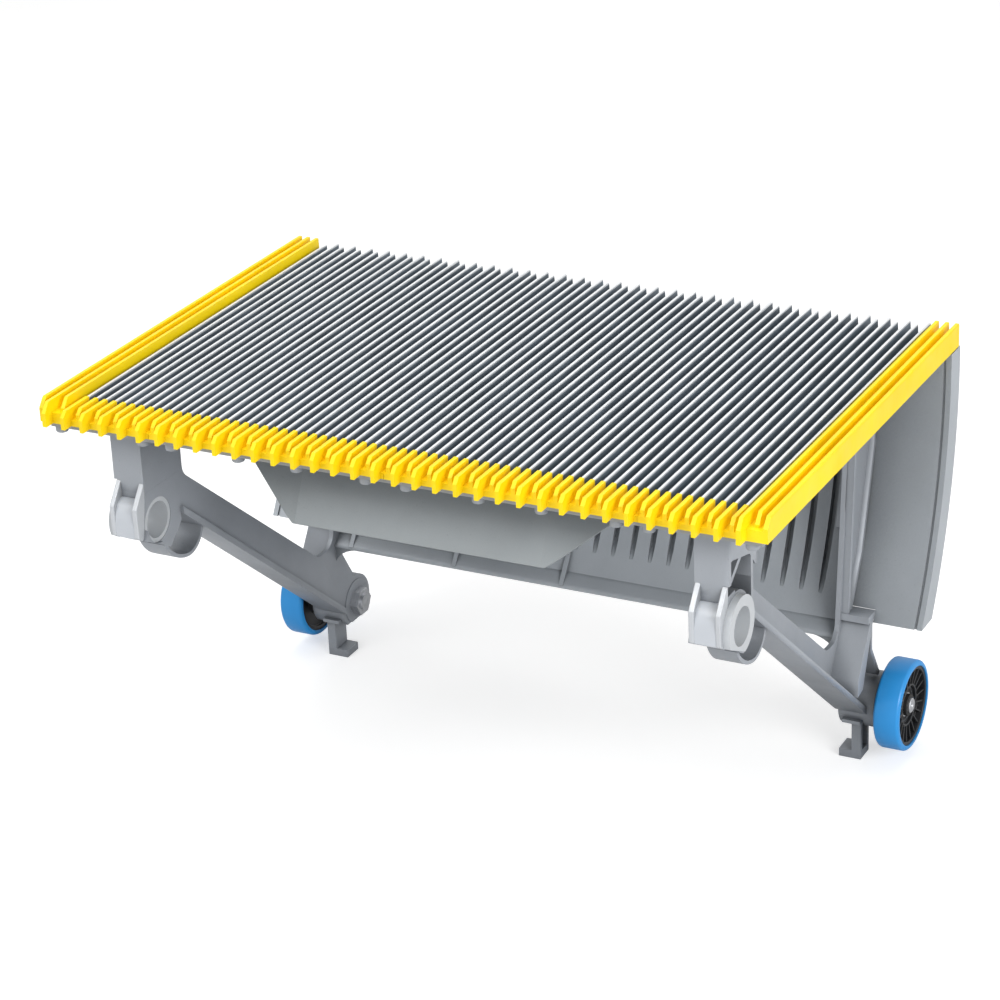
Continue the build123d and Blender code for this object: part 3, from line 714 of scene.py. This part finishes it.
def riser_corner_webs():
    """Rounded corners where the riser's lower edge meets the brackets."""
    wide, high, steps = 27.0, 19.0, 8
    edge = WEB_IN + 1
    outline = [(edge, RISER_LOW + 1.5), (edge - wide, RISER_LOW + 1.5)]
    for k in range(steps + 1):
        turn = math.pi / 2 * k / steps
        outline.append((edge - wide + wide * math.sin(turn), RISER_LOW - high + high * math.cos(turn)))
    bm = bmesh.new()
    for way in (-1, 1):
        solid(bm, [[(way * x, y, z) for x, z in outline] for y in (265.5, 271.5)])
    inner_trim("riser_corner_webs", bm, 40, 0.5)


def riser_lip_ribs():
    """Short upright ribs above the lip, where the photo shows them."""
    radius = RISER_INNER_R + 0.6
    foot = []
    front = []
    for up, out, drop in ((2.6, 6.0, 0), (19.6, 4.6, 1), (41.6, 1.0, 1)):
        y, z = arc_point(radius, arc_turn(radius, RISER_LOW + up))
        foot.append((y, z))
        front.append((y - out, z - drop))
    bm = bmesh.new()
    for x in (-217, -116, -14):
        prism(bm, foot + front[::-1], x - 2, x + 2)
    inner_trim("riser_lip_ribs", bm, 40, 0.5)


riser_flange()
riser_lip()
riser_corner_webs()
riser_lip_ribs()


# Small fasteners.
def strip_screws():
    """Bosses with a domed end under the rear strips, one for each screw."""
    bm = bmesh.new()
    for step in BOSS_STEPS:
        solid(bm, [circle(step * PITCH, BOSS_Y, z, r)
                   for r, z in ((BOSS_R, BOSS_TOP), (BOSS_R, BOSS_LOW + 1.5),
                                (BOSS_R * 0.9, BOSS_LOW + 0.6), (BOSS_R * 0.66, BOSS_LOW))])
    finish_piece(from_bmesh("strip_screw_bosses", bm), PAINT, "step_frame", 40)


def bolt(bm, x, y, z):
    """Hexagon head on a washer, pointing down."""
    washer = ((9.0, 0.5), (9.0, -1.2), (8.6, -1.6))
    solid(bm, [circle(x, y, z + up, r) for r, up in washer])
    corner = 13 / math.sqrt(3)
    head = ((corner, -1.4), (corner, -5.6), (corner * 0.86, -6.4))
    solid(bm, [circle(x, y, z + up, r, 6, math.radians(45)) for r, up in head])


def bracket_bolts():
    bm = bmesh.new()
    for way in (-1, 1):
        for y in BOLT_ROWS:
            bolt(bm, way * BOLT_X, y, BOLT_Z)
    finish_piece(from_bmesh("bracket_bolts", bm), STEEL, "step_frame", 30)


# Chain axle seats.
def seat_ears():
    """Pointed cheeks on both sides of each seat cap."""
    outline = ((-12.5, 37), (-14.5, 37), (-28, 19), (-28, 8), (-27.4, -6), (-22, -9.6),
               (-19, -8), (-15, 12), (-12.5, 24))
    bm = bmesh.new()
    for way in (-1, 1):
        for x_from, x_to in CHEEKS:
            prism(bm, outline, x_from, x_to, way)
    finish_piece(from_bmesh("seat_ears", bm), CHEEK, "step_frame", 40, 0.9)


def seat_cover():
    """The cap of each seat: a block between the cheeks, hollowed for the bush."""
    turns = [math.radians(degrees) for degrees in range(128, 233, 8)]
    inner = [(SEAT_BORE_R * math.cos(turn), SEAT_BORE_R * math.sin(turn)) for turn in turns]
    outer = [(-11.5, -15.4), (-19, -10.9), (-27, -6.4), (-27.4, 5), (-26, 13), (-22.4, 19.4),
             (-18, 22.4), (-11.5, 23)]
    bm = bmesh.new()
    for way in (-1, 1):
        prism(bm, inner + outer, CAP_IN, CAP_OUT, way)
    obj = from_bmesh("seat_cap_blocks", bm)
    finish_piece(obj, CAP, "step_frame", 30, 0.5)
    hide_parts("seat_caps")


strip_screws()
bracket_bolts()
seat_ears()
seat_cover()


# Floor and light.
def pale_floor():
    """A plain floor that keeps the object's shadow and looks nearly white from the camera."""
    bm = bmesh.new()
    bm.faces.new([vertex(bm, (x * FLOOR_HALF, y * FLOOR_HALF, FLOOR_Z))
                  for x, y in ((-1, -1), (1, -1), (1, 1), (-1, 1))])
    obj = from_bmesh("floor", bm)
    s = Shade("floor", rough=0.9, spec=0.1)
    s.colour(s.ramp(s.noise(3.0, 2.0), (0.3, grey(0.70)), (0.7, grey(0.73))))
    s.bsdf.inputs["Emission Color"].default_value = WHITE
    glow = s.add("ShaderNodeMath", {1: 0.52}, operation="MULTIPLY")
    s.link(s.add("ShaderNodeLightPath").outputs["Is Camera Ray"], glow.inputs[0])
    s.link(glow.outputs[0], s.bsdf.inputs["Emission Strength"])
    obj.data.materials.append(s.mat)


def lamp(name, place, target, size, power):
    """A soft rectangular lamp, with its places and size in metres."""
    data = bpy.data.lights.new(name, "AREA")
    data.shape = "RECTANGLE"
    data.size, data.size_y = size
    data.energy = power
    obj = bpy.data.objects.new(name, data)
    aim = Vector(target) - Vector(place)
    obj.matrix_world = Matrix.Translation(place) @ aim.to_track_quat("-Z", "Y").to_matrix().to_4x4()
    scene.collection.objects.link(obj)


def backdrop():
    """White for the camera and in reflections, and a softer grey for the light that it casts."""
    world = bpy.data.worlds.new("world")
    world.use_nodes = True
    tree = world.node_tree
    cast = tree.nodes["Background"]
    seen = tree.nodes.new("ShaderNodeBackground")
    for node, strength in ((cast, 0.42), (seen, 1.0)):
        node.inputs["Color"].default_value = WHITE
        node.inputs["Strength"].default_value = strength
    path = tree.nodes.new("ShaderNodeLightPath")
    share = path.outputs["Is Camera Ray"]
    for ray in ("Is Glossy Ray", "Is Transmission Ray"):
        either = tree.nodes.new("ShaderNodeMath")
        either.operation = "MAXIMUM"
        tree.links.new(share, either.inputs[0])
        tree.links.new(path.outputs[ray], either.inputs[1])
        share = either.outputs[0]
    both = tree.nodes.new("ShaderNodeMixShader")
    tree.links.new(share, both.inputs[0])
    tree.links.new(cast.outputs[0], both.inputs[1])
    tree.links.new(seen.outputs[0], both.inputs[2])
    tree.links.new(both.outputs[0], tree.nodes["World Output"].inputs["Surface"])
    scene.world = world


pale_floor()
lamp("key", (-1.0, -2.1, 2.2), (0, 0.1, -0.05), (1.8, 1.2), 37)
lamp("fill", (2.4, -1.1, 1.1), (0, 0.2, -0.1), (1.4, 1.0), 48)
lamp("top", (-0.2, 0.2, 2.6), (0, 0.1, 0), (2.4, 2.0), 35)
backdrop()
scene.view_settings.view_transform = "Standard"
